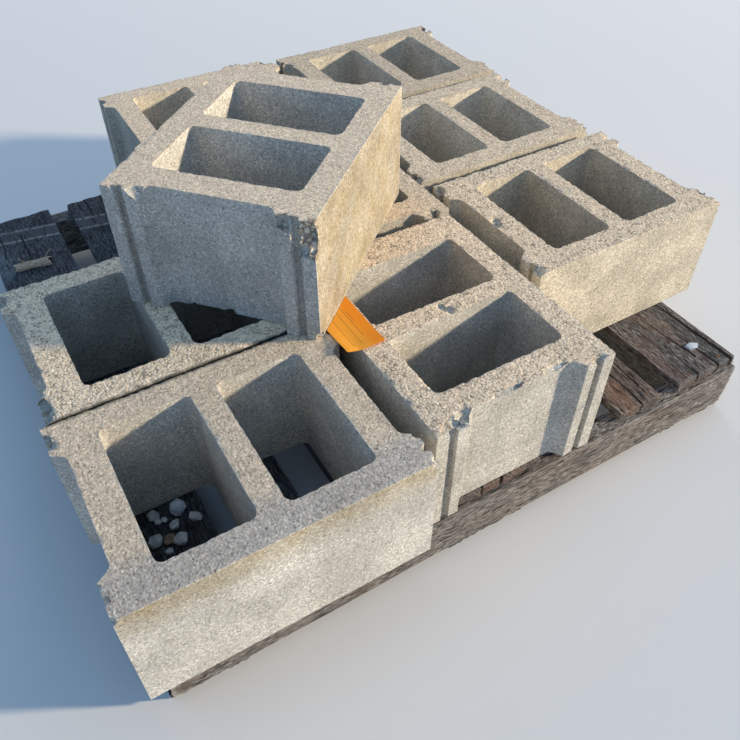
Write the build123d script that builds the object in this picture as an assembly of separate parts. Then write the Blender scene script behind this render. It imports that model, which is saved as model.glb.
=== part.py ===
# Two-core concrete blocks of the 12-inch size on a stringer pallet, one laid turned on top.
# Millimetres. +X runs along the stringers, +Y along the deck boards, +Z up.
# The origin is on the ground under the middle of the pallet.
import os

from build123d import *

os.makedirs("parts", exist_ok=True)

# Block
block_length = 397.0
block_width = 295.3
block_height = 193.7
face_shell = 40.0          # wall along each long side, at the top
centre_web = 36.0          # wall between the two cores, at the top
end_web = 43.0             # wall between a core and the recess in the end, at the top
core_radius = 10.0
core_draft = 1.0           # degrees, so that the cores widen downwards
end_recess = 18.0          # depth of the hollow in each end
ear_width = 50.0           # flat face on each side of that hollow
recess_slope = 12.0        # how far its side leans inwards
recess_radius = 14.0
groove_edge = 20.0         # from the block's side to the groove in the ear
groove_mouth = 13.0
groove_floor = 7.0
groove_depth = 7.0
arris = 2.0                # worn upright corners

# Pallet
deck_thickness = 18.0
bottom_thickness = 16.0
stringer_width = 38.0
stringer_height = 89.0
pallet_depth = 1090.0      # over the outer faces of the stringers
board_setback = 4.0        # deck boards stop this far inside the stringers' faces
edge_board = 140.0
narrow_board = 89.0
centre_board = 152.0
deck_gaps = [37.0, 53.0, 52.0, 32.0, 47.0, 41.0]
board_edge = 1.5           # worn long edges of the boards
bottom_board = 140.0

# How the blocks lie, as gaps between neighbours
overhang_left = 18.0
overhang_front = 38.0
front_pair_gap = 17.7      # front-left block to the turned one beside it
front_centre_back = 31.0   # how far that one stands back
left_gap = 3.0
left_shift = 8.0
left_turn = 0.4            # degrees
centre_gap = 11.0
centre_shift = 9.0
right_gap = 16.0
right_back_step = 186.0    # from the front-centre block's front end to the right block's side
right_rows_gap = 20.0
right_rear_gap = 6.0
right_rear_turn = 0.4
rear_shift = 7.0
rear_row_gap = 20.0
back_left_gap = 11.0
back_left_step = 28.0
back_left_turn = -0.6
top_turn = 41.9            # degrees
top_centre_x = 9.0         # top block's middle, from the front-centre block's left side
top_centre_y = 204.0       # and from the front-left block's back side

# Lot tag, lying on the front-centre block and ending where the top block covers it
tag_width = 60.0
tag_length = 125.0
tag_thickness = 0.4
tag_corner = 7.0
tag_side = 23.0            # how far it hangs out past the block's left side
tag_reach = 44.8           # how far it reaches out in front of the top block's nearest corner
tag_clearance = 0.3        # to the top block

deck_widths = [edge_board, narrow_board, narrow_board, centre_board, narrow_board, narrow_board, edge_board]
pallet_width = sum(deck_widths) + sum(deck_gaps)
pallet_height = bottom_thickness + stringer_height + deck_thickness
core_length = (block_length - 2 * (end_recess + end_web) - centre_web) / 2
core_across = block_width - 2 * face_shell


def end_cut():
    """Plan of what is cut from the end at x = 0: the hollow between the ears, and their grooves."""
    side_lean = (groove_mouth - groove_floor) / 2
    groove_points = [
        (0, groove_edge),
        (groove_depth, groove_edge + side_lean),
        (groove_depth, groove_edge + side_lean + groove_floor),
        (0, groove_edge + groove_mouth),
    ]
    recess_points = [
        (0, ear_width),
        (end_recess, ear_width + recess_slope),
        (end_recess, block_width - ear_width - recess_slope),
        (0, block_width - ear_width),
    ]
    with BuildSketch() as cut:
        with BuildLine():
            Polyline(*recess_points, close=True)
        make_face()
        floor_corners = cut.vertices().filter_by_position(Axis.X, end_recess - 0.1, end_recess + 0.1)
        fillet(floor_corners, recess_radius)
        with BuildLine():
            Polyline(*groove_points, close=True)
        make_face()
        with BuildLine():
            Polyline(*[(x, block_width - y) for x, y in groove_points], close=True)
        make_face()
    return cut.sketch


def make_block(flat_rear=False):
    """One block with its front-left lower corner at the origin, long side along X."""
    front_cut = end_cut()
    rear_cut = Pos(block_length, block_width) * Rot(0, 0, 180) * front_cut
    with BuildPart() as block:
        with BuildSketch():
            Rectangle(block_length, block_width, align=(Align.MIN, Align.MIN))
            add(front_cut, mode=Mode.SUBTRACT)
            if not flat_rear:
                add(rear_cut, mode=Mode.SUBTRACT)
        extrude(amount=block_height)
        with BuildSketch(Plane.XY.offset(block_height)):
            for side in (-1, 1):
                middle = block_length / 2 + side * (centre_web + core_length) / 2
                with Locations((middle, block_width / 2)):
                    RectangleRounded(core_length, core_across, core_radius)
        extrude(amount=-block_height, taper=-core_draft, mode=Mode.SUBTRACT)
        outer_corners = [
            edge
            for edge in block.edges().filter_by(Axis.Z)
            if min(edge.center().X, block_length - edge.center().X) < 0.1
            and min(edge.center().Y, block_width - edge.center().Y) < 0.1
        ]
        fillet(outer_corners, arris)
    return block.part


def make_board(width, length, thickness):
    """A board along Y with its front-left lower corner at the origin and worn long edges."""
    with BuildPart() as board:
        Box(width, length, thickness, align=(Align.MIN, Align.MIN, Align.MIN))
        fillet(board.edges().filter_by(Axis.Y), board_edge)
    return board.part


def make_stringer():
    """A stringer along X with its front-left lower corner at the origin."""
    with BuildPart() as stringer:
        Box(pallet_width, stringer_width, stringer_height, align=(Align.MIN, Align.MIN, Align.MIN))
        chamfer(stringer.edges().filter_by(Axis.Z), board_edge)
    return stringer.part


def save(solid, name):
    solid.label = name
    export_step(solid, f"parts/{name}.step")


# Pallet, counted from its front-left corner
left = -pallet_width / 2
front = -pallet_depth / 2
board_length = pallet_depth - 2 * board_setback
deck_top = pallet_height

board_left = left
for number, width in enumerate(deck_widths, start=1):
    board = make_board(width, board_length, deck_thickness)
    place = Pos(board_left, front + board_setback, bottom_thickness + stringer_height)
    save(place * board, f"deck_board_{number}")
    board_left += width + (deck_gaps + [0])[number - 1]

stringer_span = pallet_depth - stringer_width
for name, share in (("front", 0.0), ("middle", 0.5), ("back", 1.0)):
    place = Pos(left, front + share * stringer_span, bottom_thickness)
    save(place * make_stringer(), f"stringer_{name}")

bottom_span = pallet_width - bottom_board
for name, share in (("left", 0.0), ("middle", 0.5), ("right", 1.0)):
    board = make_board(bottom_board, board_length, bottom_thickness)
    save(Pos(left + share * bottom_span, front + board_setback, 0) * board, f"bottom_board_{name}")

# Blocks on the deck, each placed from its neighbours
front_left = (left - overhang_left, front - overhang_front)
front_centre = (front_left[0] + block_length + front_pair_gap, front_left[1] + front_centre_back)
left_block = (front_left[0] + left_shift, front_left[1] + block_width + left_gap)
centre = (front_centre[0] + centre_shift, front_centre[1] + block_length + centre_gap)
right = (centre[0] + block_width + right_gap, front_centre[1] + right_back_step)
right_rear = (centre[0] + block_width + right_rear_gap, right[1] + block_width + right_rows_gap)
back_right = (right_rear[0] + rear_shift, right_rear[1] + block_width + rear_row_gap)
back_left = (
    back_right[0] - back_left_gap - block_length,
    centre[1] + block_length + back_left_step,
)
top_centre = (front_centre[0] + top_centre_x, front_left[1] + block_width + top_centre_y)


def lengthways(corner, turn=0.0):
    """Where a block along X goes: its front-left corner, and a small turn about it."""
    return Pos(corner[0], corner[1], deck_top) * Rot(0, 0, turn)


def crossways(corner):
    """Where a block turned a quarter goes: the corner it covers from."""
    return Pos(corner[0] + block_width, corner[1], deck_top) * Rot(0, 0, 90)


block = make_block()
corner_block = make_block(flat_rear=True)
top_place = (
    Pos(top_centre[0], top_centre[1], deck_top + block_height)
    * Rot(0, 0, top_turn)
    * Pos(-block_length / 2, -block_width / 2, 0)
)
save(lengthways(front_left) * block, "block_front_left")
save(crossways(front_centre) * corner_block, "block_front_centre")
save(lengthways(left_block, left_turn) * block, "block_left")
save(crossways(centre) * block, "block_centre")
save(lengthways(right) * block, "block_right")
save(lengthways(right_rear, right_rear_turn) * block, "block_right_rear")
save(lengthways(back_right) * block, "block_back_right")
save(lengthways(back_left, back_left_turn) * block, "block_back_left")
save(top_place * block, "block_top")

# Lot tag
with BuildPart() as tag_sheet:
    with BuildSketch():
        RectangleRounded(tag_width, tag_length, tag_corner, align=(Align.MIN, Align.MIN))
    extrude(amount=tag_thickness)
covered = top_place * Pos(-tag_clearance, -tag_clearance, 0) * Box(
    block_length + 2 * tag_clearance,
    block_width + 2 * tag_clearance,
    block_height,
    align=(Align.MIN, Align.MIN, Align.MIN),
)
tag_front = top_place.position.Y - tag_reach
tag_place = Pos(front_centre[0] - tag_side, tag_front, deck_top + block_height)
save(tag_place * tag_sheet.part - covered, "lot_tag")
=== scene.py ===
# Looks of a timber pallet loaded with two-core concrete blocks. Metres, in the part's own frame.
import math
import random

import bpy
from mathutils import Matrix, Vector


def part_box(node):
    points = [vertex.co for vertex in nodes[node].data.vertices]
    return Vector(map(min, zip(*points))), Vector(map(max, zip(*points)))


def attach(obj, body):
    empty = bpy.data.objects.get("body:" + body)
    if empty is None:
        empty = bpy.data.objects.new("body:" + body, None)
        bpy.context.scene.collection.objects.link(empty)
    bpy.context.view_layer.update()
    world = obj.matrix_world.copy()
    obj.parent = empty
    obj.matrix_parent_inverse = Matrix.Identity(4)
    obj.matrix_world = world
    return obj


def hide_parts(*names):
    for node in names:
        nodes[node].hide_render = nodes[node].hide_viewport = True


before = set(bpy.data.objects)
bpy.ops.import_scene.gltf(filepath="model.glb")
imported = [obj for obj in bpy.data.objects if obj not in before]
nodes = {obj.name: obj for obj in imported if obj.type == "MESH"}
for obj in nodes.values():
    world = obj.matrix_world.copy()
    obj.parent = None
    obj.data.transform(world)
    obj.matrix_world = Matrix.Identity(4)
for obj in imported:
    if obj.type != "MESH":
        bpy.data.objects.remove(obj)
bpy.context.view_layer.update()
chance = random.Random(12)
MM = 0.001

# Places read from the frame
DECK_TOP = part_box("deck_board_1")[1][2]
FIRST_LOW, FIRST_HIGH = (Vector(corner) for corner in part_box("block_front_left"))
BLOCK_LENGTH, BLOCK_WIDTH, BLOCK_HEIGHT = FIRST_HIGH - FIRST_LOW
DECK_WOOD = [f"deck_board_{number}" for number in range(1, 8)]
STRINGERS = ["stringer_front", "stringer_middle", "stringer_back"]
BOTTOM_WOOD = ["bottom_board_left", "bottom_board_middle", "bottom_board_right"]

# Sizes of the finish
CAST_CELL = 4.0 * MM       # size of the mesh cells on a block
CAST_DEPTH = 7             # halvings of a block's space that give cells as small as that
GRAIN_CELL = 5.0 * MM      # across a board
FIBRE_CELL = 11.0 * MM     # along a board
FIBRE_STRETCH = 18.0       # how much longer than wide the wear of the wood is
RAGGED_END = 4.0 * MM      # how far the ends of a board are worn back
SAND_SIZE = 0.0023         # grains all over the concrete
STONE_SIZE = 0.0034        # stones in its open faces
RUBBLE_SIZE = 0.0068       # stones where it is broken
PINHOLE_SPACING = 0.018
TAG_CORNER = 3.5 * MM
TAG_THICKNESS = 0.4 * MM
TAG_GAP = 0.4 * MM         # to the top block
RULE_WIDTH = 0.8 * MM
FLOOR_SIZE = 12.0

# The band that another pallet has left on the left boards: where it starts, its two sides there, its slope
STRIP_START = -0.42
STRIP_EDGES = (0.4415, 0.4800)
STRIP_SLOPE = 0.17


# Modelling helpers


def only(piece):
    """Selects this object alone and makes it the active one."""
    bpy.ops.object.select_all(action="DESELECT")
    piece.select_set(True)
    bpy.context.view_layer.objects.active = piece


def smooth(piece, degrees):
    """Smooth shading, apart from edges sharper than this."""
    only(piece)
    bpy.ops.object.shade_smooth_by_angle(angle=math.radians(degrees))


def apply_modifier(piece, kind, **settings):
    only(piece)
    modifier = piece.modifiers.new(kind.title(), kind)
    for key, value in settings.items():
        setattr(modifier, key, value)
    bpy.ops.object.modifier_apply(modifier=modifier.name)


def cloud(size, depth=2):
    """A solid noise for Displace, with features of this size in metres."""
    texture = bpy.data.textures.new(f"cloud_{size:.4f}", "CLOUDS")
    texture.noise_scale = size
    texture.noise_depth = depth
    return texture


def nicks(size, share):
    """A solid noise that is full, apart from spots of this size over about this share."""
    texture = cloud(size, 1)
    texture.use_color_ramp = True
    empty, full = texture.color_ramp.elements
    empty.position, empty.color = 0.22 + 0.30 * share, (0.0, 0.0, 0.0, 1.0)
    full.position, full.color = 0.40 + 0.30 * share, (1.0, 1.0, 1.0, 1.0)
    return texture


def keep_inside(piece, low, high):
    """Brings back any point that the wear has pushed out of this box."""
    for vertex in piece.data.vertices:
        vertex.co = [min(max(v, a), b) for v, a, b in zip(vertex.co, low, high)]


def weather(piece, texture, depth, group="", direction="NORMAL", stretch=None, level=1.0):
    """Wears the surface inwards by up to depth, where the noise is low.

    stretch scales the noise by axis. A level of 0.5 moves the surface both ways.
    """
    settings = dict(
        texture=texture, strength=depth, mid_level=level, direction=direction, vertex_group=group
    )
    if stretch is None:
        apply_modifier(piece, "DISPLACE", texture_coords="GLOBAL", **settings)
        return
    ruler = bpy.data.objects.new("ruler", None)
    bpy.context.scene.collection.objects.link(ruler)
    ruler.scale = stretch
    bpy.context.view_layer.update()
    apply_modifier(piece, "DISPLACE", texture_coords="OBJECT", texture_coords_object=ruler, **settings)
    bpy.data.objects.remove(ruler)


def group_by(piece, name, weigh):
    """A vertex group whose weights come from a function of each vertex's place and normal."""
    group = piece.vertex_groups.new(name=name)
    for vertex in piece.data.vertices:
        weight = weigh(vertex.co, vertex.normal)
        if weight > 0.0:
            group.add([vertex.index], min(weight, 1.0), "REPLACE")


def edge_group(piece, name, degrees):
    """A vertex group of the edges sharper than this, softened over its neighbours."""
    only(piece)
    bpy.ops.object.mode_set(mode="EDIT")
    bpy.ops.mesh.select_all(action="DESELECT")
    bpy.ops.mesh.select_mode(type="EDGE")
    bpy.ops.mesh.edges_select_sharp(sharpness=math.radians(degrees))
    bpy.ops.mesh.select_mode(type="VERT")
    piece.vertex_groups.new(name=name)
    bpy.ops.object.vertex_group_assign()
    bpy.ops.mesh.select_all(action="SELECT")
    bpy.ops.object.vertex_group_smooth(group_select_mode="ACTIVE", factor=0.6, repeat=1)
    bpy.ops.object.mode_set(mode="OBJECT")


def weights(piece, name):
    """The weight of each vertex in the group, 0 where it isn't in it."""
    index = piece.vertex_groups[name].index
    return [
        max((entry.weight for entry in vertex.groups if entry.group == index), default=0.0)
        for vertex in piece.data.vertices
    ]


def ease_below(piece, name, level, share):
    """Leaves only this share of the group's weight below this level."""
    index = piece.vertex_groups[name].index
    for vertex in piece.data.vertices:
        for entry in vertex.groups:
            if entry.group == index and vertex.co.z < level:
                entry.weight *= share


def point_values(piece, name, values):
    """Keeps a value at each point, for the material to read."""
    layer = piece.data.attributes.new(name, "FLOAT", "POINT")
    layer.data.foreach_set("value", values)


def step(low, high, x):
    """0 below low, 1 above high and a smooth rise between."""
    t = min(max((x - low) / (high - low), 0.0), 1.0)
    return t * t * (3 - 2 * t)


def chip_off(piece, place, size, roughness):
    """Breaks a lump of this half size off the piece."""
    bpy.ops.mesh.primitive_ico_sphere_add(subdivisions=3, radius=1.0, location=(0, 0, 0))
    cutter = bpy.context.active_object
    cutter.data.transform(Matrix.Translation(place) @ Matrix.Diagonal((*size, 1.0)))
    weather(cutter, cloud(min(size) * 0.7), min(size) * roughness, level=0.5)
    apply_modifier(piece, "BOOLEAN", object=cutter, operation="DIFFERENCE", solver="EXACT")
    bpy.data.objects.remove(cutter)


# Shader helpers


class Shade:
    """A shader value that ordinary sums can use."""

    def __init__(self, finish, link):
        self.finish = finish
        self.link = link

    def sum(self, operation, *values):
        return self.finish.add("ShaderNodeMath", {"operation": operation}, dict(enumerate(values)))

    def __add__(self, other):
        return self.sum("ADD", self, other)

    __radd__ = __add__

    def __sub__(self, other):
        return self.sum("SUBTRACT", self, other)

    def __rsub__(self, other):
        return self.sum("SUBTRACT", other, self)

    def __mul__(self, other):
        return self.sum("MULTIPLY", self, other)

    __rmul__ = __mul__

    def size(self):
        return self.sum("ABSOLUTE", self)

    def limited(self):
        """The value kept between 0 and 1."""
        return self.finish.add("ShaderNodeClamp", {}, {0: self})

    def __gt__(self, other):
        return self.sum("GREATER_THAN", self, other)

    def __lt__(self, other):
        return self.sum("LESS_THAN", self, other)


class Nodes:
    """A tree of shader nodes, built node by node."""

    def __init__(self, tree):
        self.tree = tree

    def join(self, value, socket):
        """Links a shader value to the socket, or sets a plain one on it."""
        if isinstance(value, Shade):
            self.tree.links.new(value.link, socket)
        elif isinstance(value, tuple) and len(value) == 3 and socket.type == "RGBA":
            socket.default_value = (*value, 1.0)
        else:
            socket.default_value = value

    def add(self, kind, settings=None, sockets=None, output=0):
        """Any node, from its type, its settings and what goes into its sockets."""
        node = self.tree.nodes.new(kind)
        for key, value in (settings or {}).items():
            setattr(node, key, value)
        for key, value in (sockets or {}).items():
            self.join(value, node.inputs[key])
        return Shade(self, node.outputs[output])


class Finish(Nodes):
    """A procedural material."""

    def __init__(self, name, roughness=0.9):
        self.material = bpy.data.materials.new(name)
        self.material.use_nodes = True
        super().__init__(self.material.node_tree)
        self.shader = self.tree.nodes["Principled BSDF"]
        self.shader.inputs["Roughness"].default_value = roughness
        self.shader.inputs["Specular IOR Level"].default_value = 0.25
        self.place = self.add("ShaderNodeTexCoord", output="Object")

    def moved(self, x, y):
        """The place, moved sideways."""
        shift = self.add("ShaderNodeCombineXYZ", {}, {0: x, 1: y})
        return self.add("ShaderNodeVectorMath", {"operation": "ADD"}, {0: self.place, 1: shift})

    def stretched(self, x, y, z, place=None):
        """The place, scaled by axis."""
        return self.add("ShaderNodeMapping", {}, {"Vector": place or self.place, "Scale": (x, y, z)})

    def noise(self, size, detail=3.0, place=None, rough=0.55):
        """Noise from 0 to 1 with features of this size in metres."""
        sockets = {"Vector": place or self.place, "Scale": 1 / size, "Detail": detail, "Roughness": rough}
        return self.add("ShaderNodeTexNoise", {}, sockets)

    def cells(self, size, output="Distance"):
        """Crumbs of this size: the distance from each crumb's middle, or a colour for each crumb."""
        return self.add("ShaderNodeTexVoronoi", {}, {"Vector": self.place, "Scale": 1 / size}, output)

    def between(self, low, high, value):
        """0 below low, 1 above high."""
        settings = {"interpolation_type": "SMOOTHSTEP"}
        return self.add("ShaderNodeMapRange", settings, {"Value": value, "From Min": low, "From Max": high})

    def mix(self, share, first, second, blend="MIX"):
        """The first colour where the share is 0, the second where it is 1."""
        settings = {"data_type": "RGBA", "blend_type": blend}
        return self.add("ShaderNodeMix", settings, {0: share, 6: first, 7: second}, output=2)

    def read(self, name):
        """A value that the piece carries at its points."""
        return self.add("ShaderNodeAttribute", {"attribute_name": name}, {}, output="Fac")

    def axis(self, which):
        return self.add("ShaderNodeSeparateXYZ", {}, {0: self.place}, output=which)

    def paint(self, colour, height=None, depth=0.001):
        """The finished material, with this colour and a fine relief up to this depth."""
        self.join(colour, self.shader.inputs["Base Color"])
        if height is not None:
            bump = self.add("ShaderNodeBump", {}, {"Distance": depth, "Height": height}, output="Normal")
            self.join(bump, self.shader.inputs["Normal"])
        return self.material


# Materials

GREY_SKIN = (0.520, 0.488, 0.430)
TAN_SKIN = (0.560, 0.478, 0.355)
# Painted sunlight on the upper faces
TOP_PAINTED_SUN = (0.89, 0.67, 0.45)
# Pale stones in breaks, bright as painted sunlight
PALE_RUBBLE_AND_SUN = (0.92, 0.80, 0.60)
DARK_RUBBLE = (0.34, 0.285, 0.215)
CRACK = (0.17, 0.145, 0.12)
# Ochre stain, and painted sunlight on the top block's sunlit side
OCHRE_AND_SUN = (0.650, 0.520, 0.300)

HEARTWOOD = (0.205, 0.105, 0.066)
CHECK = (0.016, 0.013, 0.012)
SPLIT = (0.008, 0.007, 0.006)
STRIP = (0.115, 0.110, 0.108)
STRIP_LINE = (0.300, 0.285, 0.270)
# Painted light on the left boards
LIT_PATCH = (0.19, 0.22, 0.235)

TAG_ORANGE = (1.0, 0.40, 0.035)
TAG_DEEP_ORANGE = (1.0, 0.30, 0.012)
TAG_RULE = (0.22, 0.06, 0.02)


def concrete(name, warm, tone, light, grain, painted_core_light=1.0):
    """Cast concrete.

    warm turns it from grey to tan and tone lightens all of it. light sets painted sunlight that makes its
    upper face paler and warmer, and the last setting paints fill light onto its shaded core walls. grain is
    how far the stones stand out on the upper face.
    """
    finish = Finish(name, roughness=0.94)
    top, broken = finish.read("open_top"), finish.read("broken")
    damp, ochre, grime = finish.read("damp"), finish.read("ochre"), finish.read("grime")
    # Where the core walls are, which get painted fill light to lighten their shade
    core = finish.read("core")
    base = [tone * (grey + (tan - grey) * warm) for grey, tan in zip(GREY_SKIN, TAN_SKIN)]
    pale = tuple(1.09 * part for part in base)
    dull = tuple(0.84 * part for part in base)
    colour = finish.mix(finish.between(0.34, 0.68, finish.noise(0.09, 2.0)), dull, pale)
    # The upper faces paler and warmer than the sides: painted sunlight on the tops
    top_painted_sun = tuple(min(light * part, 0.95) for part in TOP_PAINTED_SUN)
    colour = finish.mix(top * (1.0 - damp * 0.55) * 0.85, colour, top_painted_sun)

    # Sand all over, and small stones with gaps between them where the grain is open
    opened = finish.between(0.0, 1.0, top * grain + broken)
    fine = finish.noise(0.0018, 2.0)
    sand = finish.cells(SAND_SIZE, "Color")
    stones = finish.cells(STONE_SIZE, "Color")
    spacing = finish.cells(STONE_SIZE)
    patches = finish.between(0.44, 0.62, finish.noise(0.010, 2.0))
    gaps = finish.between(0.46, 0.74, spacing) * opened * patches
    level = 1.0 + (fine - 0.5) * 0.70 + (sand - 0.5) * 0.74 + (stones - 0.42) * 0.36 * opened
    level = level + finish.between(0.80, 0.86, sand) * 0.16 - finish.between(0.16, 0.10, sand) * 0.12
    # Painted shade darkens the ear grooves and the faces at a joint, and painted fill light lightens the
    # shaded core walls
    level = level * (1.0 - gaps * 0.54) * (1.0 - grime * 0.88) * (1.0 + core * (painted_core_light - 1.0))

    # Upright drag marks from the mould, and slow changes of shade
    drag = finish.noise(0.0050, 2.0, finish.stretched(1.0, 1.0, 0.04))
    level = level + (drag - 0.5) * 0.09 * (1.0 - top)
    level = level + (finish.noise(0.028, 3.0) - 0.5) * 0.11

    # A few pinholes, and grains of a warmer or colder colour
    holes = finish.between(0.11, 0.06, finish.cells(PINHOLE_SPACING))
    holes = holes * (finish.cells(PINHOLE_SPACING, "Color") > 0.66)
    level = level * (1.0 - holes * 0.5) * (1.0 - damp * 0.12)
    tint = (finish.noise(STONE_SIZE, 1.0) - 0.5) * 0.10
    channels = {0: level + tint, 1: level, 2: level - tint + damp * 0.03}
    colour = finish.mix(1.0, colour, finish.add("ShaderNodeCombineColor", {}, channels), "MULTIPLY")

    # Light and dark stones where it is broken, with cracks round them. The pale stones are bright enough to
    # be painted sunlight on the broken faces as well.
    rubble = finish.cells(RUBBLE_SIZE, "Color")
    crack = finish.between(0.38, 0.58, finish.cells(RUBBLE_SIZE)) * broken
    colour = finish.mix(broken * finish.between(0.52, 0.58, rubble), colour, PALE_RUBBLE_AND_SUN)
    colour = finish.mix(broken * finish.between(0.52, 0.46, rubble) * 0.75, colour, DARK_RUBBLE)
    colour = finish.mix(crack * 0.80, colour, CRACK)

    # Ochre stain, which on the top block's sunlit side is painted sunlight
    stain = ochre * (0.50 + finish.between(0.25, 0.75, finish.noise(0.035, 4.0)) * 0.50)
    colour = finish.mix(stain * 0.80, colour, OCHRE_AND_SUN, "MULTIPLY")

    grains = fine * 0.35 + sand * 0.35 + drag * 0.1
    return finish.paint(colour, grains + (1.0 - spacing) * opened * 0.9 - holes - crack * 1.5, 0.0008)


def old_timber(name, along, dark, mid, light, red=0.0, splits=(), strip=False):
    """Weathered softwood with raised fibres, red heartwood and long splits.

    strip adds the band across the boards that another pallet has left, and a patch of painted light near
    their left end.
    """
    finish = Finish(name, roughness=0.9)
    worn = finish.read("worn")
    x, y = finish.axis("X"), finish.axis("Y")

    # The grain bends a little as it runs along the wood
    bend = (finish.noise(0.11, 2.0) - 0.5) * 0.012 + (finish.noise(0.026, 2.0) - 0.5) * 0.003
    bent = finish.moved(0.0, bend) if along == "X" else finish.moved(bend, 0.0)

    def drawn(squeeze):
        """The bent place, with its length along the grain squeezed."""
        return finish.stretched(*((squeeze, 1.0, 1.0) if along == "X" else (1.0, squeeze, 1.0)), place=bent)

    fibre = finish.noise(0.0020, 3.0, drawn(0.15), 0.7)
    streak = finish.noise(0.0036, 5.0, drawn(0.090), 0.74)
    zone = finish.noise(0.030, 3.0, drawn(0.40))
    checks = finish.between(0.405, 0.355, finish.noise(0.0030, 2.0, drawn(0.090)))
    colour = finish.mix(finish.between(0.41, 0.56, streak), dark, mid)
    if red:
        heart = finish.between(0.45, 0.62, finish.noise(0.06, 3.0, drawn(0.35))) * red
        colour = finish.mix(heart, colour, HEARTWOOD)
    raised = finish.between(0.49, 0.59, fibre)
    colour = finish.mix(raised * (0.30 + finish.between(0.35, 0.65, zone) * 0.55), colour, light)
    colour = finish.mix(finish.between(0.2, 0.9, worn) * (0.25 + fibre * 0.6), colour, light)
    if strip:
        across = y + (x - STRIP_START) * STRIP_SLOPE
        lines = [finish.between(0.0050, 0.0028, (across - edge).size()) for edge in STRIP_EDGES]
        inside = (across > STRIP_EDGES[0]) * (across < STRIP_EDGES[1])
        patchy = finish.between(0.30, 0.55, finish.noise(0.010, 3.0))
        colour = finish.mix(inside * 0.55, colour, STRIP)
        colour = finish.mix((lines[0] + lines[1]) * patchy * 0.9, colour, STRIP_LINE)
        # A paler bluish patch of painted light near the left end of the boards
        lit_patch = finish.between(-0.470, -0.505, x) * finish.between(0.30, 0.36, y)
        lit_patch = lit_patch * finish.between(0.44, 0.40, y) * finish.between(0.30, 0.65, finish.noise(0.02, 4.0))
        colour = finish.mix(lit_patch * 0.8, colour, LIT_PATCH)
    colour = finish.mix(checks * 0.85, colour, CHECK)
    height = fibre * 0.8 + streak * 0.5 - checks * 1.3

    # Splits, which widen from where they start
    wander = (finish.noise(0.018, 2.0) - 0.5) * 0.006
    for (x0, y0), (x1, y1), width in splits:
        run = (y - y0 * MM) * (1 / ((y1 - y0) * MM))
        apart = (x - x0 * MM - run * ((x1 - x0) * MM) - wander).size()
        open_width = run * (width * 0.6 * MM) + width * 0.25 * MM
        split = ((open_width - apart) * (1 / MM)).limited() * (run > 0.0) * (run < 1.02)
        colour = finish.mix(split, colour, SPLIT)
        height = height - split * 3.0
    return finish.paint(colour, height, 0.0020)


def stone_skin(name, pale, dull):
    finish = Finish(name, roughness=0.8)
    patches = finish.between(0.35, 0.65, finish.noise(0.012, 4.0))
    colour = finish.mix(patches, dull, pale)
    return finish.paint(colour, finish.noise(0.003, 4.0), 0.0008)


def dry_skin(name, dark, light):
    """Bark, twigs and dead leaf."""
    finish = Finish(name, roughness=0.9)
    fibre = finish.noise(0.002, 4.0, finish.stretched(0.2, 1.0, 1.0))
    return finish.paint(finish.mix(finish.between(0.3, 0.7, fibre), dark, light), fibre, 0.001)


def rusty_nail():
    finish = Finish("rusty_nail", roughness=0.75)
    colour = finish.mix(finish.noise(0.002, 3.0), (0.10, 0.055, 0.035), (0.22, 0.12, 0.07))
    return finish.paint(colour, finish.noise(0.001, 2.0), 0.0003)


def dress(piece, material):
    """Gives the piece this material alone."""
    piece.data.materials.clear()
    piece.data.materials.append(material)


# Blocks

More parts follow.
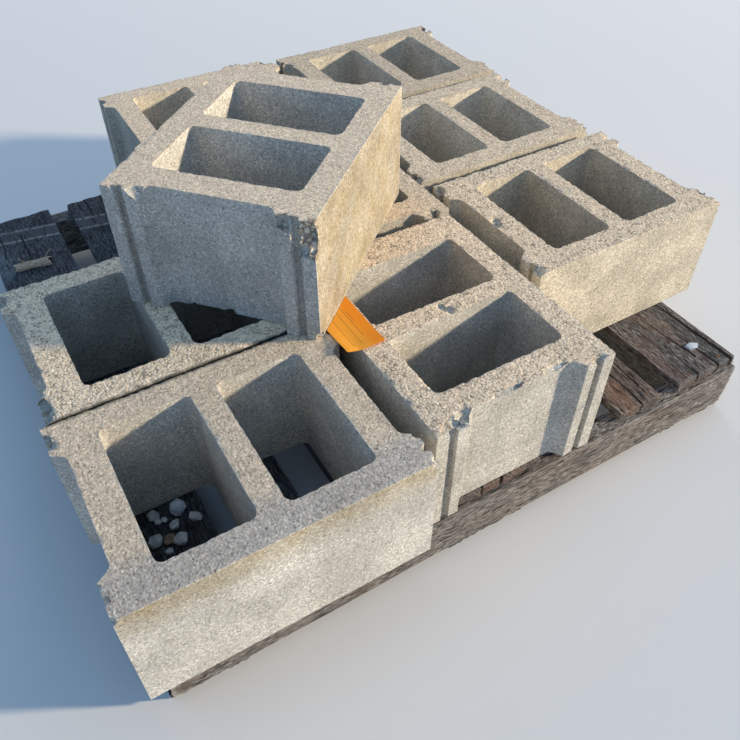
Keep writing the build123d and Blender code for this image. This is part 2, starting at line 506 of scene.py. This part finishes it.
# Each block's turn, its finish, and what is broken off it. A break is its middle and its half size, in
# millimetres in the block's own frame (along it from its first end, across it, and up), and how much loose
# stone shows in it.
BLOCKS = {
    "block_front_left": dict(
        turn=0.0, warm=0.20, tone=1.18, light=0.92, grain=0.50,
        breaks=[
            ((2, 268, 192), (7, 12, 5), 1),
            ((396, 4, 191), (5, 6, 6), 0.4),
            ((396, 50, 192), (5, 5, 5), 0.4),
            ((0, 2, 192), (4, 4, 5), 0.4),
            ((0, 44, 194), (3, 4, 3), 0.4),
        ],
    ),
    "block_front_centre": dict(
        turn=90.0, warm=0.30, tone=1.04, light=1.02, grain=1.0, painted_core_light=1.12,
        breaks=[
            ((4, 262, 193), (12, 20, 6), 1),
            ((16, 244, 192), (7, 12, 8), 1),
            ((191, 142, 194), (8, 5, 5), 1),
            ((202, 149, 194), (8, 5, 5), 1),
            ((20, 90, 193), (6, 16, 4), 1),
            ((20, 170, 193), (5, 22, 4), 1),
            ((2, 28, 193), (7, 10, 4), 1),
        ],
    ),
    "block_left": dict(
        turn=0.4, warm=0.25, tone=1.00, light=1.08, grain=1.0,
        breaks=[
            ((3, 26, 192), (10, 24, 5), 1),
            ((2, 58, 190), (8, 10, 8), 1),
            ((3, 275, 192), (9, 12, 6), 1),
        ],
    ),
    "block_centre": dict(
        turn=90.0, warm=0.60, tone=1.00, light=0.90, grain=0.6, painted_core_light=1.12,
        breaks=[((10, 160, 193), (9, 16, 6), 1), ((3, 30, 193), (8, 10, 5), 1)],
    ),
    "block_right": dict(
        turn=0.0, warm=0.80, tone=1.16, light=1.00, grain=1.0,
        breaks=[
            ((391, 268, 193), (5, 8, 4), 0.5),
            ((392, 40, 193), (5, 8, 4), 0.5),
            ((25, 143, 194), (6, 8, 5), 1),
            ((31, 154, 194), (6, 7, 4), 1),
            ((1, 14, 192), (7, 14, 5), 1),
            ((3, 278, 192), (8, 12, 6), 1),
        ],
    ),
    "block_right_rear": dict(
        turn=0.4, warm=0.60, tone=1.02, light=0.96, grain=0.65, painted_core_light=1.28,
        breaks=[
            ((391, 266, 193), (6, 9, 4), 0.5),
            ((396, 6, 190), (6, 7, 10), 0.4),
            ((2, 12, 191), (6, 9, 6), 0.5),
        ],
    ),
    "block_back_right": dict(
        turn=0.0, warm=0.55, tone=0.98, light=0.84, grain=0.6, painted_core_light=1.30,
        breaks=[
            ((390, 270, 192), (8, 11, 5), 0.6),
            ((396, 14, 192), (5, 10, 4), 0.5),
            ((8, 248, 190), (10, 12, 8), 0.5),
        ],
    ),
    "block_back_left": dict(
        turn=-0.6, warm=0.65, tone=1.04, light=1.00, grain=0.4, painted_core_light=1.25,
        breaks=[((384, 284, 188), (16, 14, 10), 1), ((2, 270, 190), (7, 10, 6), 0.5)],
    ),
    "block_top": dict(
        turn=41.9, warm=0.15, tone=1.08, light=1.04, grain=0.35, painted_core_light=1.22,
        breaks=[
            ((-8, -10, 168), (22, 34, 32), 1),
            ((-1, 16, 150), (9, 8, 9), 1),
            ((-1, 40, 190), (9, 12, 14), 1),
            ((2, 236, 204), (12, 24, 26), 0),
            ((1, 277, 195), (5, 4, 6), 0),
            ((18, 146, 0), (7, 9, 5), 1),
            ((19, 186, 0), (4, 26, 3), 1),
            ((2, -1, 2), (8, 7, 9), 1),
            ((395, 292, 192), (12, 12, 7), 1),
        ],
    ),
}

# Where a block's inside walls and the grooves in its ears lie, from its nearest end and side in metres
CORE_FROM_END = 0.045
CORE_FROM_SIDE = 0.030
GROOVE_FROM_END = (0.0030, 0.0090)
GROOVE_FROM_SIDE = (0.0205, 0.0325)
# Painted shade on the floor of the grooves in the ears, standing in for their shadow
GROOVE_PAINTED_SHADE = 0.30


def stains_and_painted_light(node, place, normal):
    """How damp a point is, its tan tint, its painted shade in grooves and at a joint, and whether it is in
    a core, given in the block's own frame.
    """
    from_end, from_side = min(place.x, BLOCK_LENGTH - place.x), min(place.y, BLOCK_WIDTH - place.y)
    in_core = from_end > CORE_FROM_END and from_side > CORE_FROM_SIDE and abs(normal.z) < 0.5
    in_groove = (
        GROOVE_FROM_END[0] < from_end < GROOVE_FROM_END[1]
        and GROOVE_FROM_SIDE[0] < from_side < GROOVE_FROM_SIDE[1]
    )
    damp, ochre, grime = 0.0, 0.0, GROOVE_PAINTED_SHADE if in_groove else 0.0
    front_face = step(0.7, 0.95, -normal.y) * (place.y < 0.008)
    by_the_top = place.z > BLOCK_HEIGHT - 0.040
    if node == "block_front_left":
        damp = step(0.5, 0.9, normal.z) * step(0.078, 0.035, place.y)
        ochre = front_face * step(BLOCK_HEIGHT - 0.060, BLOCK_HEIGHT - 0.004, place.z)
        # Painted shade near the top of the back face, along the shadowed joint with the block behind
        grime = max(step(0.4, 0.8, normal.y) * (place.y > BLOCK_WIDTH - 0.003) * by_the_top, grime)
    elif node == "block_left":
        # Painted shade near the top of the front face, along the same shadowed joint
        grime = max(step(0.4, 0.8, -normal.y) * (place.y < 0.003) * by_the_top, grime)
    elif node == "block_top":
        # The tan on the top block's sunlit side is painted sunlight
        ochre = front_face
    return damp, ochre, grime, 1.0 if in_core else 0.0


def rubble_at(place, breaks):
    """How much loose stone shows at a point, given in metres in the block's own frame."""
    most = 0.0
    for middle, size, rubble in breaks:
        apart = place / MM - Vector(middle)
        reach = Vector((apart.x / size[0], apart.y / size[1], apart.z / size[2])).length
        most = max(most, step(1.22, 1.08, reach) * rubble)
    return most


def own_frame(node, turn):
    """From a block's own frame, with its first end at x = 0, to the pallet's."""
    low, high = (Vector(corner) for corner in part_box(node))
    middle = Matrix.Translation(((low.x + high.x) / 2, (low.y + high.y) / 2, low.z))
    turned = Matrix.Rotation(math.radians(turn), 4, "Z")
    return middle @ turned @ Matrix.Translation((-BLOCK_LENGTH / 2, -BLOCK_WIDTH / 2, 0))


def cast_block(node, breaks, turn, **look):
    """A block with worn arrises, a slightly uneven skin and its breaks, in the place of its node."""
    own = own_frame(node, turn)
    piece = bpy.data.objects.new(node.replace("block_", "cast_block_"), nodes[node].data.copy())
    bpy.context.scene.collection.objects.link(piece)
    only(piece)
    bpy.ops.object.mode_set(mode="EDIT")
    bpy.ops.mesh.select_all(action="SELECT")
    bpy.ops.mesh.remove_doubles(threshold=1e-5)
    bpy.ops.object.mode_set(mode="OBJECT")
    piece.data.transform(own.inverted())
    points = [vertex.co.copy() for vertex in piece.data.vertices]
    low, high = ([pick(point[axis] for point in points) for axis in range(3)] for pick in (min, max))
    for place, size, rubble in breaks:
        chip_off(piece, Vector(place) * MM, Vector(size) * MM, 0.2 + 0.5 * rubble**2)
    apply_modifier(
        piece,
        "REMESH",
        mode="SHARP",
        octree_depth=CAST_DEPTH,
        scale=max(piece.dimensions) / (2**CAST_DEPTH * CAST_CELL),
        use_remove_disconnected=True,
        threshold=0.01,
    )
    upper_level = BLOCK_HEIGHT - 2.0 * MM
    grain = look["grain"]
    edge_group(piece, "arris", 38)
    ease_below(piece, "arris", BLOCK_HEIGHT - 6 * MM, 0.25)
    group_by(piece, "upper", lambda place, normal: step(0.5, 0.9, normal.z) * (place.z > upper_level))
    weather(piece, cloud(0.09), 0.8 * MM)
    weather(piece, nicks(0.008, 0.35), (0.7 + 1.5 * grain) * MM, group="arris")
    weather(piece, nicks(0.030, 0.12), (0.2 + 1.2 * grain) * MM, group="arris")
    weather(piece, cloud(0.007, 1), (0.25 + 0.35 * grain) * MM, group="upper")
    group_by(piece, "rubble", lambda place, normal: rubble_at(place, breaks))
    weather(piece, cloud(0.0085, 1), 8.0 * MM, group="rubble", level=0.72)
    keep_inside(piece, low, high)
    rows = [
        (opened, rubble_at(vertex.co, breaks), *stains_and_painted_light(node, vertex.co, vertex.normal))
        for vertex, opened in zip(piece.data.vertices, weights(piece, "upper"))
    ]
    for name, values in zip(("open_top", "broken", "damp", "ochre", "grime", "core"), zip(*rows)):
        point_values(piece, name, values)
    piece.data.transform(own)
    piece.vertex_groups.clear()
    smooth(piece, 40)
    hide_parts(node)
    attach(piece, "root")
    dress(piece, concrete(node.replace("block_", "concrete_"), **look))


for node, facts in BLOCKS.items():
    cast_block(node, **facts)


# Timber


def select_along(piece, axis):
    """Selects the edges that run along this axis."""
    only(piece)
    bpy.ops.object.mode_set(mode="EDIT")
    bpy.ops.mesh.select_mode(type="EDGE")
    bpy.ops.mesh.select_all(action="DESELECT")
    bpy.ops.object.mode_set(mode="OBJECT")
    points = piece.data.vertices
    for edge in piece.data.edges:
        run = points[edge.vertices[0]].co - points[edge.vertices[1]].co
        edge.select = abs(run[axis]) > 0.9 * run.length
    bpy.ops.object.mode_set(mode="EDIT")


def timber(node, along, material, rough=1.0):
    """A board or stringer with raised grain, worn edges and ragged ends, in the place of its node."""
    low, high = (Vector(corner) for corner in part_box(node))
    size = high - low
    bpy.ops.object.select_all(action="DESELECT")
    bpy.ops.mesh.primitive_cube_add(size=1.0, location=(0, 0, 0))
    piece = bpy.context.active_object
    piece.name = f"worn_{node}"
    piece.data.transform(Matrix.Translation((low + high) / 2) @ Matrix.Diagonal((*size, 1.0)))
    cells = [GRAIN_CELL] * 3
    cells[along] = FIBRE_CELL
    for axis in range(3):
        select_along(piece, axis)
        bpy.ops.mesh.subdivide(number_cuts=max(2, round(size[axis] / cells[axis])))
        bpy.ops.object.mode_set(mode="OBJECT")
    stretch = [1.0, 1.0, 1.0]
    stretch[along] = FIBRE_STRETCH
    edge_group(piece, "edges", 60)
    worn = weights(piece, "edges")
    weather(piece, cloud(0.007, 3), 1.3 * MM * rough, stretch=stretch)
    weather(piece, cloud(0.030, 2), 1.0 * MM * rough, stretch=stretch)
    weather(piece, nicks(0.030, 0.40), 2.4 * MM * rough, group="edges", stretch=stretch)
    for name, end, sign in (("start", low[along], 1), ("finish", high[along], -1)):
        group_by(piece, name, lambda place, normal: step(0.03, 0.0, abs(place[along] - end)))
        for texture in (cloud(0.0045, 1), cloud(0.03, 2)):
            weather(piece, texture, -sign * RAGGED_END, group=name, direction="XYZ"[along])
    keep_inside(piece, low, high)
    point_values(piece, "worn", worn)
    piece.vertex_groups.clear()
    smooth(piece, 45)
    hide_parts(node)
    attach(piece, "root")
    dress(piece, material)


# Colours of the wood: dark, middle and light
DAMP = ((0.023, 0.024, 0.027), (0.066, 0.068, 0.073), (0.200, 0.200, 0.202))
GREY = ((0.027, 0.025, 0.025), (0.108, 0.097, 0.090), (0.370, 0.345, 0.328))
BROWN = ((0.030, 0.023, 0.020), (0.120, 0.091, 0.077), (0.375, 0.315, 0.270))
PALE = ((0.052, 0.046, 0.041), (0.190, 0.166, 0.146), (0.510, 0.460, 0.405))
UNDER = ((0.016, 0.015, 0.014), (0.046, 0.041, 0.037), (0.120, 0.110, 0.100))

# Each board's colours and what marks it. A split is where it starts and ends, in millimetres from the
# pallet's middle, and how wide it gets.
BOARD_FINISH = {
    "deck_board_1": (
        DAMP,
        dict(strip=True, splits=[((-458, 360), (-459, 470), 3), ((-498, 430), (-500, 546), 4)]),
    ),
    "deck_board_2": (DAMP, dict(strip=True, splits=[((-307, 470), (-309, 546), 3)])),
    "deck_board_3": (DAMP, dict()),
    "deck_board_4": (
        BROWN,
        dict(red=0.6, splits=[((14, -500), (12, -546), 5), ((-24, -480), (-22, -546), 3)]),
    ),
    "deck_board_5": (GREY, dict(red=0.3)),
    "deck_board_6": (
        BROWN,
        dict(red=0.8, splits=[((306, -430), (300, -546), 3), ((330, -400), (326, -500), 3)]),
    ),
    "deck_board_7": (
        GREY,
        dict(
            red=0.4,
            splits=[
                ((505, -350), (512, -546), 6),
                ((476, -440), (481, -546), 4),
                ((436, -460), (430, -546), 3),
                ((452, -380), (461, -500), 3),
            ],
        ),
    ),
}
for node, (tones, marks) in BOARD_FINISH.items():
    timber(node, 1, old_timber(node.replace("deck_board", "board_wood"), "Y", *tones, **marks))
for node in STRINGERS:
    timber(node, 0, old_timber(node.replace("stringer", "stringer_wood"), "X", *PALE, red=0.25), rough=0.8)
for node in BOTTOM_WOOD:
    timber(node, 1, old_timber(node.replace("bottom_board", "under_wood"), "Y", *UNDER), rough=0.6)


def nail(name, x, y):
    """A rusty nail head, sunk a little into the board."""
    bpy.ops.object.select_all(action="DESELECT")
    radius = chance.uniform(3.4, 4.2) * MM
    bpy.ops.mesh.primitive_cylinder_add(vertices=14, radius=radius, depth=2.4 * MM, location=(0, 0, 0))
    piece = bpy.context.active_object
    piece.name = name
    apply_modifier(piece, "BEVEL", width=0.5 * MM, segments=2, limit_method="ANGLE")
    tilt = Matrix.Rotation(chance.uniform(-0.08, 0.08), 4, "X")
    piece.data.transform(Matrix.Translation((x, y, DECK_TOP - 2.1 * MM)) @ tilt)
    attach(piece, "root")
    dress(piece, RUST)


RUST = rusty_nail()
NAIL_SHARES = (0.22, 0.76)     # where the nails are across a board
for node in DECK_WOOD:
    low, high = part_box(node)
    for stringer in STRINGERS:
        near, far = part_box(stringer)
        middle = (near[1] + far[1]) / 2
        for share in NAIL_SHARES:
            x = low[0] + (high[0] - low[0]) * share + chance.uniform(-6, 6) * MM
            y = middle + chance.uniform(-8, 8) * MM
            nail(f"nail_{node[-1]}_{stringer[9:]}_{int(share * 100)}", x, y)


# Lot tag


def cut_back(piece, point, outward):
    """Cuts off what lies beyond a plane."""
    only(piece)
    bpy.ops.object.mode_set(mode="EDIT")
    bpy.ops.mesh.select_all(action="SELECT")
    bpy.ops.mesh.bisect(plane_co=point, plane_no=outward, clear_outer=True)
    bpy.ops.object.mode_set(mode="OBJECT")


# Rule lines on the card: how far each is from its left side, and where it starts and ends along it
TAG_RULES = [
    (0.039, 0.026, 0.090),
    (0.043, 0.058, 0.084),
    (0.029, 0.010, 0.090),
    (0.016, 0.010, 0.090),
]


def lot_tag():
    """The card on the block's edge, with its back end at the top block and its free end lifted a little."""
    low, high = (Vector(corner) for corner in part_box("lot_tag"))
    size = high - low
    top = own_frame("block_top", BLOCKS["block_top"]["turn"])
    bpy.ops.object.select_all(action="DESELECT")
    bpy.ops.mesh.primitive_grid_add(x_subdivisions=24, y_subdivisions=46, size=1.0, location=(0, 0, 0))
    card = bpy.context.active_object
    card.name = "tag_card"
    middle = Matrix.Translation(((low.x + high.x) / 2, (low.y + high.y) / 2, low.z))
    card.data.transform(middle @ Matrix.Diagonal((*size[:2], 1, 1)))
    inward = top.col[1].xyz
    cut_back(card, top.translation - inward * TAG_GAP, inward)
    for x, side in ((low.x, -1), (high.x, 1)):
        heart = Vector((x - side * TAG_CORNER, low.y + TAG_CORNER, 0))
        for lean in (15, 37.5, 52.5, 75):
            outward = Vector((side * math.sin(math.radians(lean)), -math.cos(math.radians(lean)), 0))
            cut_back(card, heart + outward * TAG_CORNER, outward)

    def side_lift(place, normal):
        return step(0.022, -0.002, place.x - low.x) * step(0.090, 0.0, place.y - low.y)

    def front_lift(place, normal):
        return step(0.030, 0.0, place.y - low.y)

    for name, weigh, height in (("side", side_lift, 5.0), ("front", front_lift, 2.0)):
        group_by(card, name, weigh)
        settings = dict(strength=height * MM, mid_level=0.0, direction="Z", vertex_group=name)
        apply_modifier(card, "DISPLACE", **settings)
    card.vertex_groups.clear()
    apply_modifier(card, "SOLIDIFY", thickness=TAG_THICKNESS, offset=1.0)
    smooth(card, 40)
    finish = Finish("tag_card", roughness=0.5)
    across, along = finish.axis("X") - low.x, finish.axis("Y") - low.y
    deeper = finish.between(size.x - 0.030, size.x - 0.010, across)
    colour = finish.mix(deeper, TAG_ORANGE, TAG_DEEP_ORANGE)
    for place, start, end in TAG_RULES:
        rule = (across > place) * (across < place + RULE_WIDTH) * (along > start) * (along < end)
        colour = finish.mix(rule * 0.75, colour, TAG_RULE)
    dress(card, finish.paint(colour, finish.noise(0.003, 3.0), 0.0002))
    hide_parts("lot_tag")
    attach(card, "root")


lot_tag()


# What lies loose on the boards


def pebble(name, x, y, size, material, turn, seed, flat=False):
    """An angular stone: a ball or a plate with its points thrown about, wrapped tight, its edges eased.

    Its size is in millimetres. It sinks a little into the board's grain.
    """
    bpy.ops.object.select_all(action="DESELECT")
    if flat:
        bpy.ops.mesh.primitive_cylinder_add(vertices=5, radius=1.0, depth=0.9, location=(0, 0, 0))
    else:
        bpy.ops.mesh.primitive_ico_sphere_add(subdivisions=1, radius=1.0, location=(0, 0, 0))
    piece = bpy.context.active_object
    piece.name = name
    bpy.ops.object.mode_set(mode="EDIT")
    bpy.ops.mesh.select_all(action="SELECT")
    if not flat:
        bpy.ops.mesh.subdivide(number_cuts=1)
    bpy.ops.transform.vertex_random(offset=0.16 if flat else 0.36, uniform=0.2, seed=seed)
    bpy.ops.mesh.convex_hull()
    bpy.ops.object.mode_set(mode="OBJECT")
    settings = dict(width=0.05, segments=2, limit_method="ANGLE", angle_limit=math.radians(20))
    apply_modifier(piece, "BEVEL", **settings)
    piece.data.transform(Matrix.Rotation(turn, 4, "Z") @ Matrix.Diagonal((*(Vector(size) * 0.42 * MM), 1)))
    lowest = min(vertex.co.z for vertex in piece.data.vertices)
    piece.data.transform(Matrix.Translation((x * MM, y * MM, DECK_TOP - size[2] * 0.12 * MM - lowest)))
    smooth(piece, 25)
    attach(piece, "root")
    dress(piece, material)


GRAVEL = stone_skin("gravel", (0.82, 0.80, 0.74), (0.50, 0.49, 0.46))
BLUE_STONE = stone_skin("blue_stone", (0.78, 0.82, 0.86), (0.48, 0.53, 0.60))
WHITE_STONE = stone_skin("white_stone", (0.74, 0.77, 0.82), (0.52, 0.56, 0.63))
STONES = [
    (-420, -346, (34, 28, 24), BLUE_STONE),
    (-404, -371, (26, 20, 16), GRAVEL),
    (-434, -369, (24, 17, 16), GRAVEL),
    (-434, -397, (29, 24, 20), GRAVEL),
    (-466, -383, (27, 24, 20), GRAVEL),
    (-455, -339, (24, 20, 16), GRAVEL),
    (-452, -352, (14, 12, 10), GRAVEL),
    (-443, -353, (13, 11, 9), GRAVEL),
    (-454, -405, (14, 11, 9), GRAVEL),
]
for number, (x, y, size, material) in enumerate(STONES, start=1):
    pebble(f"gravel_{number}", x, y, size, material, chance.uniform(0, 3), number + 4)
pebble("white_chip", 476, -480, (31, 18, 7), WHITE_STONE, -0.25, 31, flat=True)


def place_loose(piece, turn, tilt, place):
    """Turns a scrap, tilts it and lays it down."""
    turned = Matrix.Rotation(turn, 4, "Z") @ Matrix.Rotation(tilt, 4, "Y")
    piece.data.transform(Matrix.Translation(place) @ turned)
    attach(piece, "root")


def bark_scrap():
    """A curled strip of bark with two twigs."""
    bark = dry_skin("dry_bark", (0.30, 0.20, 0.13), (0.72, 0.55, 0.38))
    bpy.ops.object.select_all(action="DESELECT")
    bpy.ops.mesh.primitive_cylinder_add(
        vertices=28, radius=11 * MM, depth=66 * MM, end_fill_type="NOTHING", location=(0, 0, 0)
    )
    strip = bpy.context.active_object
    strip.name = "bark_scrap"
    strip.data.transform(Matrix.Rotation(math.radians(90), 4, "Y"))
    bpy.ops.object.mode_set(mode="EDIT")
    bpy.ops.mesh.select_all(action="SELECT")
    bpy.ops.mesh.bisect(plane_co=(0, 0, 2 * MM), plane_no=(0, 0.2, 1), clear_inner=True)
    bpy.ops.mesh.select_all(action="SELECT")
    bpy.ops.mesh.subdivide(number_cuts=4)
    bpy.ops.object.mode_set(mode="OBJECT")
    apply_modifier(strip, "SOLIDIFY", thickness=2.2 * MM, offset=0.0)
    weather(strip, cloud(0.024, 2), 16 * MM, level=0.5, direction="Y")
    weather(strip, cloud(0.009, 2), 16 * MM, level=0.5, direction="X")
    weather(strip, cloud(0.007, 2), 6 * MM, level=0.5)
    place_loose(strip, math.radians(-6), 0.0, (-0.459, 0.351, DECK_TOP - 4.5 * MM))
    smooth(strip, 50)
    dress(strip, bark)
    twigs = [
        (2.1, -0.25, 34, (-0.474, 0.366, DECK_TOP + 2 * MM)),
        (0.75, -0.3, 32, (-0.430, 0.366, DECK_TOP + 3 * MM)),
    ]
    for number, (turn, tilt, length, place) in enumerate(twigs, start=1):
        bpy.ops.object.select_all(action="DESELECT")
        bpy.ops.mesh.primitive_cylinder_add(
            vertices=8, radius=0.9 * MM, depth=length * MM, location=(0, 0, 0)
        )
        twig = bpy.context.active_object
        twig.name = f"twig_{number}"
        twig.data.transform(Matrix.Rotation(math.radians(90), 4, "Y"))
        bpy.ops.object.mode_set(mode="EDIT")
        bpy.ops.mesh.select_all(action="SELECT")
        bpy.ops.mesh.subdivide(number_cuts=5)
        bpy.ops.object.mode_set(mode="OBJECT")
        weather(twig, cloud(0.012, 1), 3 * MM, level=0.5, direction="Y")
        place_loose(twig, turn, tilt, place)
        dress(twig, bark)


def leaf_scrap():
    """A curled brown leaf between the gravel."""
    bpy.ops.object.select_all(action="DESELECT")
    bpy.ops.mesh.primitive_circle_add(vertices=18, radius=1.0, fill_type="TRIFAN", location=(0, 0, 0))
    leaf = bpy.context.active_object
    leaf.name = "leaf_scrap"
    bpy.ops.object.mode_set(mode="EDIT")
    bpy.ops.mesh.select_all(action="SELECT")
    bpy.ops.mesh.subdivide(number_cuts=3)
    bpy.ops.object.mode_set(mode="OBJECT")
    leaf.data.transform(Matrix.Diagonal((11 * MM, 7 * MM, 1.0, 1.0)))
    weather(leaf, cloud(0.010, 2), 10 * MM, level=0.5, direction="Z")
    apply_modifier(leaf, "SOLIDIFY", thickness=0.5 * MM, offset=0.0)
    place_loose(leaf, 0.9, 0.25, (-0.448, -0.388, DECK_TOP + 5 * MM))
    smooth(leaf, 50)
    dress(leaf, dry_skin("dry_leaf", (0.26, 0.16, 0.10), (0.52, 0.36, 0.22)))


bark_scrap()
leaf_scrap()


# Floor, light and camera

bpy.ops.object.select_all(action="DESELECT")
bpy.ops.mesh.primitive_plane_add(size=FLOOR_SIZE, location=(0, 0, 0))
floor = bpy.context.active_object
floor.name = "floor"
floor_finish = Finish("pale_floor", roughness=0.9)
floor_finish.paint((0.86, 0.82, 0.77))
floor_finish.shader.inputs["Specular IOR Level"].default_value = 0.0
dress(floor, floor_finish.material)

# Soft blue light from all round, and a pale backdrop that lights nothing
world = bpy.data.worlds.new("soft_daylight")
bpy.context.scene.world = world
world.use_nodes = True
around = Nodes(world.node_tree)
skylight = around.add("ShaderNodeBackground", {}, {"Color": (0.36, 0.61, 1.0), "Strength": 0.60})
backdrop = around.add("ShaderNodeBackground", {}, {"Color": (0.72, 0.75, 0.78), "Strength": 1.0})
seen = around.add("ShaderNodeLightPath", output="Is Camera Ray")
both = around.add("ShaderNodeMixShader", {}, {0: seen, 1: skylight, 2: backdrop})
around.join(both, world.node_tree.nodes["World Output"].inputs["Surface"])


def lamp(name, place, size, power, colour):
    """A round soft lamp that points at the middle of the load. Metres and watts."""
    data = bpy.data.lights.new(name, "AREA")
    data.shape = "DISK"
    data.size = size
    data.energy = power
    data.color = colour
    light = bpy.data.objects.new(name, data)
    bpy.context.scene.collection.objects.link(light)
    light.location = place
    light.rotation_euler = (LOAD_MIDDLE - light.location).to_track_quat("-Z", "Y").to_euler()


LOAD_MIDDLE = Vector((0, 0, 0.25))
lamp("key", (13.30, -7.78, 4.37), 1.1, 3640.0, (1.0, 0.87, 0.66))
lamp("behind", (2.4, 6.2, 1.9), 3.0, 120.0, (1.0, 0.96, 0.90))

EYE = Vector((-0.5006, -1.0158, 1.0223))
LOOK_AZIMUTH = 30.79       # degrees from +Y towards +X
LOOK_DOWN = 44.96          # degrees below level
LENS_MM = 36.48
SENSOR_MM = 36.0
camera_data = bpy.data.cameras.new("camera")
camera_data.lens = LENS_MM
camera_data.sensor_width = SENSOR_MM
camera = bpy.data.objects.new("camera", camera_data)
bpy.context.scene.collection.objects.link(camera)
camera.location = EYE
camera.rotation_euler = (math.radians(90 - LOOK_DOWN), 0.0, math.radians(-LOOK_AZIMUTH))
bpy.context.scene.camera = camera
bpy.context.scene.view_settings.view_transform = "Standard"
